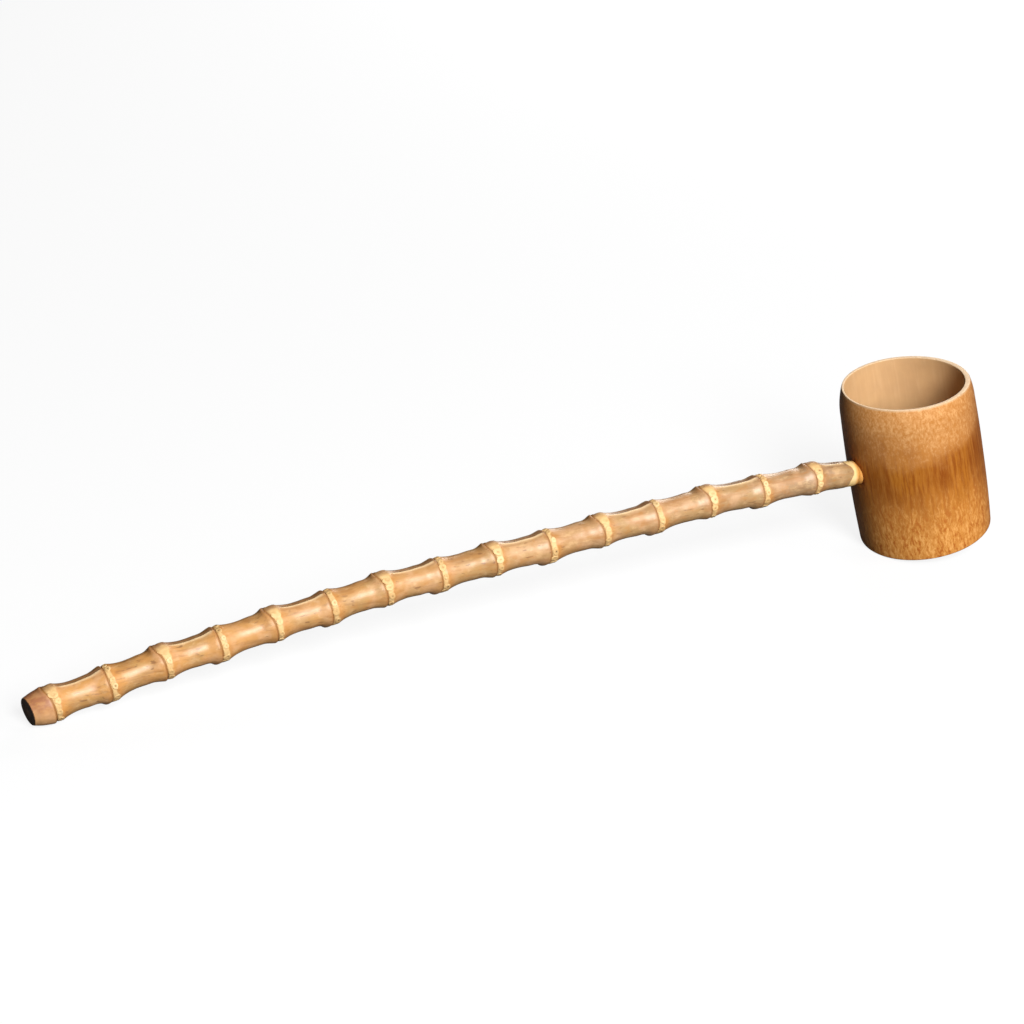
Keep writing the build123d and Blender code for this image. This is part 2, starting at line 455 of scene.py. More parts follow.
def wall_finish(colours, cup):
    """Scraped outside of the cup: long fibres at its middle, short ones at the shoulder and foot."""
    finish = Finish("cup_wall")
    here = cup_place(finish, cup)
    height = finish.axis(here, "Z")
    depth = (cup.height - height) * cos(cup.rim_slope) - finish.axis(here, "X") * sin(cup.rim_slope)
    drift = finish.shift(finish.noise(here, 160, 3, 0.6, "Color"), (-0.5, -0.5, -0.5))
    bent = finish.shift(here, finish.stretch(drift, (0.0010, 0.0010, 0.0)))
    curled = finish.shift(here, finish.stretch(drift, (0.0040, 0.0040, 0.0026)))
    upper = finish.step(height + finish.noise(here, 80, 3) * 0.024, 0.053, 0.074)
    lower = finish.step(height + finish.noise(here, 110) * 0.020, 0.048, 0.016)
    long = finish.stretched(bent, (760, 760, 55), 4, 0.62)
    fine = finish.stretched(bent, (1800, 1800, 190), 3, 0.6)
    short = finish.stretched(curled, (900, 900, 250), 4, 0.62)
    fleck = finish.stretched(curled, (980, 980, 540), 5, 0.68)
    tone = finish.stretched(here, (105, 105, 32), 3)
    middle = 1 - upper
    colour = finish.layered(colours.wall, (
        (finish.step(tone, 0.38, 0.60), GOLD_WALL),
        (finish.step(long, 0.45, 0.64) * middle * 0.75, DARK_FIBRE),
        (finish.step(long, 0.48, 0.32) * middle * 0.35, PALE_FIBRE),
        (finish.step(fine, 0.50, 0.66) * 0.30, FINE_FIBRE),
        (upper * 0.92, colours.wall_pale),
        (finish.step(fleck, 0.48, 0.64) * upper * 0.70, DARK_FLECK),
        (finish.step(fleck, 0.52, 0.34) * upper * 0.65, PALE_FLECK),
        (lower * 0.85, LOW_WALL),
        (finish.step(short, 0.50, 0.66) * lower * 0.85, colours.wall_red),
        (finish.step(short, 0.52, 0.34) * lower * 0.65, PALE_FLAME),
        (finish.step(depth + fleck * 0.0006, 0.0013, 0.0006) * 0.8, colours.rim),
    ))
    return finish.finish(
        base_color=colour,
        roughness=0.42 + fine * 0.16,
        normal=finish.bump(long * 0.4 + fleck * 0.3 + short * 0.3, 0.00016, 0.5),
        specular_ior_level=0.26,
        coat_weight=1.0,
        coat_ior=1.06,
        coat_roughness=0.3,
        coat_tint=(0.85, 0.78, 0.72, 1.0),
    )


def inside_finish(colours, cup):
    """Inside of the culm: smooth, paler, with faint upright fibres."""
    finish = Finish("cup_inside")
    here = cup_place(finish, cup)
    height = finish.axis(here, "Z")
    fibres = finish.stretched(here, (700, 700, 60), 3, 0.55)
    cloud = finish.noise(here, 70, 3)
    colour = finish.layered(colours.inside, (
        (finish.step(cloud, 0.35, 0.7) * 0.5, INSIDE_CLOUD),
        (finish.step(fibres, 0.45, 0.75) * 0.16, INSIDE_FIBRE),
        # Darker towards the floor inside
        (finish.step(height, 0.030, 0.008) * 0.35, DARK_LOW_INSIDE),
    ))
    return finish.finish(
        base_color=colour,
        roughness=0.55 + cloud * 0.1,
        normal=finish.bump(fibres, 0.00004, 0.5),
        specular_ior_level=0.25,
    )


def end_grain_finish(colours, cup):
    """Sawn rim and foot, with the ends of the fibres as dots."""
    finish = Finish("cup_end_grain")
    here = cup_place(finish, cup)
    values = {"Vector": here, "Scale": 1500.0}
    dots = finish.node("ShaderNodeTexVoronoi", {"feature": "F1"}, values, "Distance")
    cloud = finish.noise(here, 240, 2)
    colour = finish.layered(colours.rim, (
        (finish.step(cloud, 0.35, 0.7) * 0.5, PALE_RIM),
        (finish.step(dots, 0.36, 0.16) * 0.6, FIBRE_END),
    ))
    return finish.finish(
        base_color=colour,
        roughness=0.55 + cloud * 0.15,
        normal=finish.bump(dots, 0.00006, 0.5),
        specular_ior_level=0.25,
    )


def peg_finish(colours):
    """Split bamboo, bare, darker than the tenon."""
    finish = Finish("peg_wood")
    here = finish.place()
    fibres = finish.stretched(here, (1800, 1800, 90), 3)
    colour = finish.mix(finish.step(fibres, 0.4, 0.7), PEG_FIBRE, colours.whittled)
    return finish.finish(
        base_color=colour,
        roughness=0.55 + fibres * 0.15,
        normal=finish.bump(fibres, 0.00008, 0.6),
    )


def stage_finish(colours):
    """Pale floor that shows white to the camera but dark to reflections and bounced light, and keeps the
    shadow.
    """
    finish = Finish("stage_paper")
    grain = finish.noise(finish.place(), 60, 2)
    path = {
        name: finish.node("ShaderNodeLightPath", {}, {}, f"Is {name} Ray")
        for name in ("Camera", "Glossy", "Transmission")
    }
    shade = finish.layered(FLOOR_BOUNCE, (
        (path["Camera"], colours.floor),
        (grain * 0.04, PAPER_GRAIN),
    ))
    paper = finish.node("ShaderNodeBsdfDiffuse", {}, {"Color": shade})
    glow = finish.node("ShaderNodeEmission", {}, {"Color": WHITE, "Strength": 1.0})
    seen = path["Camera"] * 0.85 + (path["Glossy"] + path["Transmission"]) * 0.04
    surface = finish.node("ShaderNodeMixShader", {}, {0: seen, 1: paper, 2: glow})
    finish.node("ShaderNodeOutputMaterial", {}, {"Surface": surface})
    return finish.material


# Meshes

def smooth_step(value, low, high):
    share = min(max((value - low) / (high - low), 0.0), 1.0)
    return share * share * (3 - 2 * share)


def bell(value, width):
    return exp(-(value / width) ** 2)


def turned(outline, axis, steps):
    """Spin a half outline round an axis into one closed skin."""
    skin = bmesh.new()
    points = [skin.verts.new(point) for point in outline]
    edges = [skin.edges.new(pair) for pair in zip(points, points[1:])]
    bmesh.ops.spin(
        skin, geom=points + edges, cent=(0, 0, 0), axis=axis, angle=2 * pi, steps=steps, use_merge=True,
    )
    bmesh.ops.remove_doubles(skin, verts=skin.verts, dist=0.000002)
    bmesh.ops.recalc_face_normals(skin, faces=skin.faces)
    return skin


def curve(first, pull_first, pull_last, last, steps):
    """Points on a cubic curve, with its two ends."""
    ends = [Vector((*point, 0)) for point in (first, pull_first, pull_last, last)]
    return [point.xy for point in interpolate_bezier(*ends, steps + 1)]


def pulled(first, pull, last, steps):
    """Points on a curve that one point pulls in."""
    first, pull, last = Vector(first), Vector(pull), Vector(last)
    return curve(first, first.lerp(pull, 2 / 3), last.lerp(pull, 2 / 3), last, steps)


def as_mesh(name, skin):
    mesh = bpy.data.meshes.new(name)
    skin.to_mesh(mesh)
    skin.free()
    return mesh


def add_object(name, data):
    made = bpy.data.objects.new(name, data)
    bpy.context.scene.collection.objects.link(made)
    return made


def add_piece(name, skin, materials, node):
    """Make the finished object and tell the frame what it stands for."""
    mesh = as_mesh(name, skin)
    for material in materials:
        mesh.materials.append(material)
    mesh.shade_smooth()
    piece = add_object(name, mesh)
    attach(piece, "root")
    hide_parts(node)
    return piece


def drill(piece, place, radius, depth):
    """Cut a round hole whose axis is the place's Z."""
    bit = bmesh.new()
    bmesh.ops.create_cone(
        bit, cap_ends=True, cap_tris=False, segments=48,
        radius1=radius, radius2=radius, depth=depth, matrix=place,
    )
    mesh = as_mesh("bit", bit)
    mesh.materials.append(piece.data.materials[-1])
    cutter = add_object("bit", mesh)
    cut = piece.modifiers.new("hole", "BOOLEAN")
    cut.operation = "DIFFERENCE"
    cut.solver = "EXACT"
    cut.object = cutter
    graph = bpy.context.evaluated_depsgraph_get()
    whole = piece.data
    piece.data = bpy.data.meshes.new_from_object(piece.evaluated_get(graph))
    piece.data.name = whole.name
    piece.modifiers.clear()
    bpy.data.objects.remove(cutter)
    bpy.data.meshes.remove(mesh)
    bpy.data.meshes.remove(whole)


# Cup

def cup_frame(cup):
    """Where the upright cup goes."""
    return Matrix.Translation(cup.foot) @ Matrix.Rotation(-cup.lean, 4, "Y")


def wall_at(cup, height):
    """Thickness of the wall above its shoulder, which thins ever faster towards its highest point."""
    low = cup.height - cup.shoulder_drop
    high = cup.height + cup.shoulder_radius * tan(cup.rim_slope)
    share = ((height - low) / (high - low)) ** 2
    return (cup.shoulder_radius - cup.cavity_radius) * (1 - share) + cup.rim_wall * share


def cup_outline(cup):
    """Half section with a level rim, from under the foot round to the floor."""
    top = cup.height - cup.unevenness / 4
    low = top - cup.shoulder_drop
    inner, ease = cup.cavity_radius, cup.rim_bevel
    outer = inner + wall_at(cup, top)
    side = (inner, cup.floor_height + cup.floor_corner)
    floor = (inner - cup.floor_corner, cup.floor_height)
    hollow = cup.hollow_radius - cup.hollow_depth
    belly = cup.belly_radius + 0.25 * (cup.belly_radius - cup.foot_radius)
    points = [(0, cup.hollow_depth * 0.8), (hollow * 0.5, cup.hollow_depth * 0.95)]
    points += curve(
        (hollow, cup.hollow_depth), (cup.hollow_radius - 0.0004, cup.hollow_depth),
        (cup.hollow_radius, 0.001), (cup.hollow_radius + 0.0003, 0), 6,
    )
    points += pulled(
        (cup.foot_radius - cup.foot_bevel, 0), (cup.foot_radius, 0), (cup.foot_radius, cup.foot_bevel), 3,
    )
    points += curve(
        (cup.foot_radius, cup.foot_bevel), (belly, cup.belly_bottom), (belly, cup.belly_top),
        (cup.shoulder_radius, low), 26,
    )[1:]
    for step in range(1, 13):
        height = low + (cup.shoulder_drop - ease * 1.5) * step / 12
        points.append((inner + wall_at(cup, height), height))
    points += pulled((outer, top - ease), (outer, top), (outer - ease, top), 4)
    points += pulled((inner + ease, top), (inner, top), (inner, top - ease), 4)
    rise = top - ease - side[1]
    points += [(inner, top - ease - rise * step / 18) for step in range(1, 18)]
    points += pulled(side, (side[0], floor[1]), floor, 8)
    for share, sag in ((0.66, 0.0003), (0.33, 0.0005), (0, 0.0006)):
        points.append((floor[0] * share, floor[1] - sag))
    return [(radius, 0, height) for radius, height in points]


def slant_rim(cup, skin):
    """Slope the level rim, so that the wall is thinnest on its high side."""
    low = cup.height - cup.shoulder_drop
    for vert in skin.verts:
        if vert.co.z <= low:
            continue
        level = vert.co.z
        share = smooth_step(level, low, cup.height - cup.rim_bevel * 2)
        beyond = (vert.co.xy.length - cup.cavity_radius) / wall_at(cup, level)
        for _ in range(3):
            vert.co.z = level - vert.co.x * tan(cup.rim_slope) * share
            vert.co.xy *= (cup.cavity_radius + beyond * wall_at(cup, vert.co.z)) / vert.co.xy.length


def cup_skin(cup):
    """The cup with its slanted rim and its wall a little uneven."""
    skin = turned(cup_outline(cup), (0, 0, 1), 168)
    slant_rim(cup, skin)
    skin.normal_update()
    slope = Vector((sin(cup.rim_slope), 0, cos(cup.rim_slope)))
    middle = Vector((0, 0, cup.height))
    for face in skin.faces:
        centre = face.calc_center_median()
        radial = Vector((centre.x, centre.y, 0)).normalized().dot(face.normal)
        on_rim = abs((centre - middle).dot(slope)) < cup.rim_bevel and face.normal.dot(slope) > 0.3
        if on_rim or (centre.z < cup.hollow_depth + 0.0002 and radial < 0.3):
            face.material_index = 2
        elif radial < 0 or (abs(face.normal.z) > 0.9 and centre.z < cup.floor_height + 0.001):
            face.material_index = 1
    for vert in skin.verts:
        radius = vert.co.xy.length
        if radius > cup.cavity_radius + cup.rim_bevel:
            dip = cup.unevenness * (0.5 + 0.5 * noise.noise(vert.co * 45))
            vert.co.xy *= 1 - dip / radius
    bmesh.ops.transform(skin, matrix=cup_frame(cup), verts=skin.verts)
    return skin


# Handle

def bud_side(joint):
    """1 where the bud is on top of the joint, and -1 where it is below."""
    return 1 if joint % 2 == 0 else -1


def along_cane(cane, at_cup, at_end, joint):
    return at_cup + (at_end - at_cup) * joint / (cane.joints - 1)


def lip_radius(cane, joint):
    return along_cane(cane, cane.lip_at_cup, cane.lip_at_end, joint)


def joint_places(cane):
    """Place of each joint on the straight cane, with zero at the tenon's root."""
    places = [-cane.neck_length]
    for joint in range(1, cane.joints):
        places.append(places[-1] - along_cane(cane, cane.pitch_at_cup, cane.pitch_at_end, joint - 1))
    return places


def band_radius(cane, joint, here):
    """Radius of the band behind a joint's lip, which swells from under the lip to its own crest."""
    share = (here + cane.band_reach) / (cane.band_width + cane.band_reach)
    return lip_radius(cane, joint) - cane.band_set + cane.band_swell * share


def cane_frames(cup, cane):
    """One matrix per joint that takes the straight cane to its place on the cup side of that joint."""
    places = joint_places(cane)
    slack = cane.tenon_radius * tan(cane.seat_rise + cup.lean)
    origin = Vector(cane.seat)
    frames = []
    previous = slack
    for joint, spot in enumerate(places):
        rise = cane.seat_rise
        if joint:
            rise += cane.zigzag * bud_side(joint) - cane.knee - cane.arch * joint ** 2
            rise += along_cane(cane, cane.sway, 0, joint - 1) * cos(cane.sway_turn * (joint - 1))
        turn = Matrix.Rotation(rise, 4, "Y")
        length = previous - spot if joint else slack + cane.neck_length
        origin = origin + turn.to_3x3() @ Vector((-length, 0, 0))
        frames.append(Matrix.Translation(origin) @ turn @ Matrix.Translation((-spot, 0, 0)))
        previous = spot
    return frames


def free_end_outline(cane, spot):
    """From the middle of the cut face to the last joint's lip."""
    end = spot - cane.end_length
    side = cane.end_radius
    lip = lip_radius(cane, cane.joints - 1)
    points = [(end + 0.0002, 0), (end + 0.0001, side * 0.5), (end, side - 0.0006)]
    points += pulled((end, side - 0.0005), (end, side), (end + 0.0006, side + 0.0001), 4)
    crest = (spot - cane.lip_curl, lip)
    points += pulled((end + 0.001, side + 0.0002), (spot - 0.003, lip - 0.0002), crest, 12)
    return points


def joint_outline(cane, joint, spot):
    """The rounding of a joint's lip, the seam under it and the band behind it."""
    lip = lip_radius(cane, joint)
    band = band_radius(cane, joint, BAND_START)
    points = pulled((spot - cane.lip_curl, lip), (spot - 0.0001, lip), (spot, lip - cane.lip_bevel), 6)[1:]
    points += [
        (spot + 0.00003, lip - 0.00054),
        (spot + 0.00012, lip - 0.00076),
        (spot + 0.00030, lip - 0.00080),
        (spot + 0.00042, band - 0.00012),
        (spot + BAND_START, band),
    ]
    for step in range(1, 7):
        here = BAND_START + (cane.band_width - 0.0008) * step / 6
        points.append((spot + here, band_radius(cane, joint, here)))
    return points


def neck_outline(cane, spot, edge):
    """From the edge of the first joint's band along the neck to the end of the tenon."""
    neck, tenon, reach = cane.neck_radius, cane.tenon_radius, cane.tenon_reach
    shoulder = (-cane.shoulder, neck - 0.0002)
    points = curve(edge, (spot + 0.0045, edge[1] - 0.0006), (spot + 0.006, neck), (spot + 0.010, neck), 12)
    points += curve((spot + 0.010, neck), (-0.008, neck), (-0.005, neck), shoulder, 10)[1:]
    points += curve(shoulder, (shoulder[0] * 0.4, shoulder[1]), (0, tenon + 0.0006), (0, tenon), 8)[1:]
    points += [(reach * step / 6, tenon) for step in range(1, 6)]
    points += pulled((reach - 0.0006, tenon), (reach, tenon), (reach, tenon - 0.0006), 3)
    return points + [(reach, 0)]


def cane_outline(cane):
    """Half outline of the straight cane, from its free end to the end of its tenon."""
    places = joint_places(cane)
    points = free_end_outline(cane, places[-1])
    for joint in range(cane.joints - 1, -1, -1):
        spot = places[joint]
        points += joint_outline(cane, joint, spot)
        edge = (spot + cane.band_width, band_radius(cane, joint, cane.band_width) - 0.00003)
        if joint:
            near = places[joint - 1]
            crest = (near - cane.lip_curl, lip_radius(cane, joint - 1))
            pull = (spot + (near - spot) * cane.waist_share, cane.waist_pull)
            points += pulled(edge, pull, crest, 26)
        else:
            points += neck_outline(cane, spot, edge)
    return [(across, 0, radius) for across, radius in points]


def from_bud(point, joint):
    """Angle from the side of the cane that a joint's bud is on."""
    side = bud_side(joint)
    return atan2(point.y, point.z * side)


def joint_before(places, across):
    """The joint whose band or internode a place on the straight cane belongs to."""
    for joint, spot in enumerate(places):
        if across >= spot:
            return joint
    return len(places) - 1


class Spot:
    """A vertex of the straight cane, measured from the joint it belongs to."""

    def __init__(self, cane, places, point):
        self.across = point.x
        self.joint = joint_before(places, point.x)
        self.here = point.x - places[self.joint]
        self.gap = places[self.joint - 1] - places[self.joint] if self.joint else cane.neck_length
        self.to_lip = -self.here if self.here < 0 else self.gap - self.here
        self.has_lip = self.joint > 0 or self.here < 0
        self.radius = point.yz.length
        self.turn = from_bud(point, self.joint)
        self.lip_turn = from_bud(point, max(self.joint - 1, 0) if self.here > 0 else self.joint)
        self.far = point.y > 0


def joint_masks(spot, point):
    """Masks of a joint's seam, band and lip, and of the warm skin beside them. The seam mask also paints
    the shadow that the lip casts on the seam, and the lip mask paints shade behind the lip on its bud's
    side besides the brown lip edge.
    """
    edge = 0.0024 + 0.0012 * bell(spot.turn, 0.8) + 0.0007 * noise.noise(point * 420)
    begun = smooth_step(spot.here, 0.0003, BAND_START)
    # The seam mask paints a dark seam line and the shadow that the lip casts on it
    masks = {
        "seam": bell(spot.here - 0.00020, 0.00038),
        "band": begun * (1 - smooth_step(spot.here, edge - 0.0003, edge + 0.0003)),
        "tone": 0.5 + 0.5 * noise.noise(point * 900) - 0.4 * bell(spot.turn, 0.5),
        "whittle": BARE if spot.across > 0 and not spot.radius else WHOLE,
    }
    if spot.here > 0.0017:
        masks["flush"] = bell(spot.here - 0.0025, 0.0024)
    if spot.has_lip:
        masks["seam"] = max(masks["seam"], bell(spot.to_lip, 0.00035))
        # Painted shade behind the lip on its bud's side
        shade = 0.8 * bell(spot.lip_turn, 0.6) * bell(spot.to_lip - 0.0015, 0.0022)
        masks["lip"] = max(bell(spot.to_lip, 0.0008), shade)
    return masks


def cut_end(cane, spot, point, masks):
    """Cut the free end askew."""
    beyond = -spot.here
    masks["taper"] = smooth_step(beyond, 0.0, 0.0010)
    masks["cut"] = smooth_step(beyond, cane.end_length - 0.0003, cane.end_length - 0.00015)
    back = smooth_step(beyond, cane.end_length * 0.5, cane.end_length)
    point.x += cane.end_slant * back * (0.5 - 0.5 * point.y / cane.end_radius)


def groove(cane, spot, masks):
    """What the groove above a bud, and the ridge on its near side, add to the radius. It also masks painted
    shade in the groove, wider on the far side, and a painted highlight along the near ridge.
    """
    if not cane.band_width < spot.here < spot.gap - (0 if spot.joint else cane.whittle_length):
        return 0
    share = spot.here / spot.gap
    width = cane.groove_width * (0.5 - 0.10 * share)
    shade_width = width * (2.4 if spot.far else 0.8)
    off = abs(spot.turn) * spot.radius
    begun = smooth_step(spot.here, cane.band_width, cane.band_width + 0.003)
    deep = begun * (0.45 + 0.55 * smooth_step(share, 0.3, 0.9))
    if not spot.joint:
        deep *= 1 - smooth_step(spot.across, -cane.whittle_length - 0.003, -cane.whittle_length)
    grow = 0
    if off < width:
        grow -= cane.groove_depth * deep * (1 - (off / width) ** 2)
    # Painted shade in the groove, reaching wider on the far side
    if off < shade_width:
        masks["groove"] = (0.4 + 0.6 * deep) * (1 - (off / shade_width) ** 6)
    if not spot.far:
        open_end = 1 - smooth_step(spot.here, spot.gap - 0.0016, spot.gap - 0.0006)
        # Painted highlight along the near ridge, whose mask also lifts the ridge
        masks["ridge"] = begun * open_end * bell(off - width - 0.0004, 0.0003 + 0.0006 * share)
        grow += cane.ridge_height * masks["ridge"]
    return grow


def dip(cane, spot):
    """What the dip before a lip adds to the radius."""
    if not spot.joint or spot.here <= cane.band_width:
        return 0
    return -cane.hump * (0.5 + 0.5 * bell(spot.lip_turn, 0.7)) * bell(spot.to_lip - 0.0050, 0.0024)


def whittled(cane, spot, masks):
    """What the knife's facets at the neck's bare end add to the radius."""
    if spot.joint or spot.here <= cane.band_width + 0.002:
        return 0
    facet = pi / 4
    share = abs((spot.turn + 0.3) % (2 * facet) - facet) / facet
    tapered = smooth_step(spot.across, -cane.whittle_length, -cane.whittle_length * 0.7)
    tapered *= 1 - smooth_step(spot.across, -0.001, 0.0)
    tongue = 0.0030 * cos(spot.turn + 1.1) ** 2 + 0.0004 * sin(5 * spot.turn)
    masks["whittle"] = (spot.across + cane.whittle_length - tongue) / MM
    # Mask of the darker orange towards the cup wall
    masks["near_wall"] = smooth_step(spot.across, -0.0022, -0.0006)
    return -cane.facet_depth * tapered * (1 - share) ** 2


def bud(cane, spot, masks):
    """What a bud adds to the radius, with the seam beside it filled up to the lip."""
    if spot.across >= -0.0002 or abs(spot.here) >= cane.end_length:
        return 0
    grow = 0
    if 0 < spot.here < 0.0008:
        below = lip_radius(cane, spot.joint) - cane.lip_bevel * 0.8 - spot.radius
        grow += bell(spot.turn - 0.3 * bud_side(spot.joint), 0.5) * max(below, 0)
    if 0 <= spot.here <= cane.band_width + 0.001:
        grow += cane.bud_height * bell(spot.turn, 0.42) * bell(spot.here - 0.0016, 0.0011)
        ended = smooth_step(spot.here, cane.band_width, cane.band_width + 0.001)
        masks["bud"] = bell(spot.turn, 0.75 if spot.far else 0.24) * (1 - ended)
    return grow


def carve_cane(cane, skin):
    """Buds, grooves, whittled facets and the unevenness of grown cane, with a mask for each."""
    places = joint_places(cane)
    layers = {name: skin.verts.layers.float.new(name) for name in MASKS}
    for vert in skin.verts:
        spot = Spot(cane, places, vert.co)
        masks = joint_masks(spot, vert.co)
        if spot.here < 0:
            cut_end(cane, spot, vert.co, masks)
        if spot.radius:
            rough = 0.3 * noise.noise(vert.co * 160) + 0.2 * noise.noise(vert.co * 420) - 0.5
            grow = cane.unevenness * rough + groove(cane, spot, masks) + dip(cane, spot)
            grow += whittled(cane, spot, masks) + bud(cane, spot, masks)
            vert.co.yz *= 1 + grow / spot.radius
        for name, value in masks.items():
            vert[layers[name]] = value


def sweep_lips(cane, skin):
    """Draw every lip and band back round the joint's bud."""
    places = joint_places(cane)
    for vert in skin.verts:
        joint = min(range(cane.joints), key=lambda one: abs(places[one] - vert.co.x))
        here = vert.co.x - places[joint]
        share = 1 - here / cane.band_width if here > 0 else 1 + here / cane.sweep_length
        if share > 0 and (joint < cane.joints - 1 or here > -0.004):
            drawn = smooth_step(share, 0, 1) * bell(from_bud(vert.co, joint), SWEEP_TURN)
            vert.co.x -= cane.bud_sweep * drawn


def scar_skin(cane):
    """One root scar: a low ring round a pit, closed below."""
    scar = bmesh.new()
    pit = scar.verts.layers.float.new("pit")
    radius = cane.scar_radius
    bmesh.ops.create_cone(
        scar, cap_ends=True, segments=18, radius1=radius, radius2=radius, depth=cane.scar_root,
        matrix=Matrix.Translation((0, 0, -cane.scar_root / 2)),
    )
    face = max(scar.faces, key=lambda one: one.calc_center_median().z)
    for vert in scar.verts:
        vert[pit] = 0.42
    for share, rise, dark in SCAR_RINGS:
        bmesh.ops.inset_region(scar, faces=[face], thickness=radius * share, depth=0, use_even_offset=True)
        for vert in face.verts:
            vert.co.z += rise
            vert[pit] = dark
    bmesh.ops.poke(scar, faces=[face])
    for vert in scar.verts:
        if vert.co.xy.length < radius * 0.08:
            vert[pit] = 1.0
    return as_mesh("scar", scar)


def wrap_scar(cane, joint, spot, place, size, verts):
    """Lay a flat scar on its band and draw it back with the band round the bud."""
    across, turn = place
    length, width = size
    base = band_radius(cane, joint, cane.scar_place)
    for vert in verts:
        flat = Vector((vert.co.x, vert.co.y, 0))
        ragged = 1 + 0.30 * noise.noise(flat * 700 + Vector((0, 0, 3.7 * verts[0].index)))
        here = across + vert.co.x * ragged * length
        past = max(here - cane.band_width + 0.0003, 0)
        radius = band_radius(cane, joint, here) - 0.6 * past + vert.co.z
        radius = min(radius, lip_radius(cane, joint))
        around = turn + vert.co.y * ragged * width / base
        vert.co = (spot + here, radius * sin(around), radius * cos(around))
        share = min(max(1 - here / cane.band_width, 0), 1)
        vert.co.x -= cane.bud_sweep * share * bell(from_bud(vert.co, joint), SWEEP_TURN)


def add_scars(cane, skin):
    """Root scars round every joint, clear of its bud and largest beside it."""
    scar = scar_skin(cane)
    scars = bmesh.new()
    layers = {name: scars.verts.layers.float.new(name) for name in ("pit", "band", "tone", "whittle")}
    shuffle = random.Random(7)
    for joint, spot in enumerate(joint_places(cane)):
        bud_turn = 0 if bud_side(joint) > 0 else pi
        clear = shuffle.uniform(0.55, 0.70)
        for index in range(cane.scars):
            share = (index + 0.22 * shuffle.uniform(-1, 1)) / (cane.scars - 1)
            off = clear + (2 * pi - 2 * clear) * share
            length = shuffle.uniform(0.62, 0.90) + 0.14 * bell(sin(off / 2) - sin(clear / 2), 0.3)
            dark = shuffle.choice((0.1, 0.2, 0.3, 0.5, 0.7, 0.8, 1.0))
            tone = shuffle.uniform(0.1, 1.0)
            across = cane.scar_place + shuffle.uniform(-0.0004, 0.0003)
            width = length * shuffle.uniform(0.95, 1.25)
            count = len(scars.verts)
            scars.from_mesh(scar)
            scars.verts.ensure_lookup_table()
            scars.verts.index_update()
            verts = scars.verts[count:]
            wrap_scar(cane, joint, spot, (across, bud_turn + off), (length, width), verts)
            for vert in verts:
                vert[layers["pit"]] *= dark
                vert[layers["band"]] = 1.0
                vert[layers["tone"]] = tone
                vert[layers["whittle"]] = WHOLE
    mesh = as_mesh("scars", scars)
    skin.from_mesh(mesh)
    bpy.data.meshes.remove(mesh)
    bpy.data.meshes.remove(scar)


def bend_cane(cup, cane, skin):
    """Take the straight cane to its arched, zigzag line, easing the turn across each joint."""
    places = joint_places(cane)
    frames = cane_frames(cup, cane)
    ease = cane.bend_ease
    for vert in skin.verts:
        across = vert.co.x
        joint = joint_before(places, across)
        spot = frames[joint] @ vert.co
        if joint and places[joint - 1] - across < ease:
            share = smooth_step(across, places[joint - 1] - ease, places[joint - 1] + ease)
            spot = spot.lerp(frames[joint - 1] @ vert.co, share)
        elif joint < cane.joints - 1 and 0 <= across - places[joint] < ease:
            share = smooth_step(across, places[joint] - ease, places[joint] + ease)
            spot = (frames[joint + 1] @ vert.co).lerp(spot, share)
        vert.co = spot


def cane_skin(cup, cane):
    skin = turned(cane_outline(cane), (1, 0, 0), 112)
    carve_cane(cane, skin)
    sweep_lips(cane, skin)
    add_scars(cane, skin)
    bend_cane(cup, cane, skin)
    return skin


# Peg

def peg_frame(cup, cane, peg):
    """Middle of the peg, upright along the cup's axis."""
    seat = cup_frame(cup).inverted() @ Vector(cane.seat)
    middle = Vector((seat.x + peg.inset, 0, seat.z - peg.drop))
    return cup_frame(cup) @ Matrix.Translation(middle)


def peg_skin(peg):
    """Whittled with a knife: ten flat sides, a blunt head and a tapered point."""
    skin = bmesh.new()
    half = peg.length / 2
    made = bmesh.ops.create_circle(skin, cap_ends=True, segments=10, radius=peg.point_radius)
    bmesh.ops.translate(skin, vec=(0, 0, -half), verts=made["verts"])
    face = made["verts"][0].link_faces[0]
    stations = ((peg.point, 1.0), (peg.length * 0.5, 0.97), (peg.length - 0.0006, 1.0), (peg.length, 0.86))
    size = peg.point_radius
    for reach, share in stations:
        face = bmesh.ops.extrude_discrete_faces(skin, faces=[face])["faces"][0]
        middle = face.calc_center_median()
        grow = peg.radius * share / size
        size = peg.radius * share
        bmesh.ops.translate(skin, vec=(0, 0, reach - half - middle.z), verts=face.verts)
        bmesh.ops.scale(skin, vec=(grow, grow, 1), verts=face.verts)
    bmesh.ops.contextual_create(skin, geom=[edge for edge in skin.edges if edge.is_boundary])
    bmesh.ops.recalc_face_normals(skin, faces=skin.faces)
    bmesh.ops.bevel(
        skin, geom=skin.edges, offset=0.00008, offset_type="OFFSET", affect="EDGES",
        segments=2, profile=0.5, material=-1,
    )
    return skin


# Operators

class DIPPER_OT_cup(bpy.types.Operator):
    """Build the bamboo cup"""
    bl_idname = "dipper.cup"
    bl_label = "Cup"

    def execute(self, context):
        cup, cane, peg = context.scene.dipper_cup, context.scene.dipper_cane, context.scene.dipper_peg
        colours = context.scene.dipper_colours
        materials = [wall_finish(colours, cup), inside_finish(colours, cup), end_grain_finish(colours, cup)]
        piece = add_piece("bamboo_cup", cup_skin(cup), materials, "cup")
        seat = Matrix.Translation(cane.seat) @ Matrix.Rotation(cane.seat_rise + pi / 2, 4, "Y")
        drill(piece, seat, cane.tenon_radius + peg.fit, cup.cavity_radius)
        return {"FINISHED"}


class DIPPER_OT_handle(bpy.types.Operator):
    """Build the handle of jointed root cane"""
    bl_idname = "dipper.handle"
    bl_label = "Handle"

    def execute(self, context):
        cup, cane = context.scene.dipper_cup, context.scene.dipper_cane
        material = cane_finish(context.scene.dipper_colours, cane)
        add_piece("cane_handle", cane_skin(cup, cane), [material], "handle")
        return {"FINISHED"}


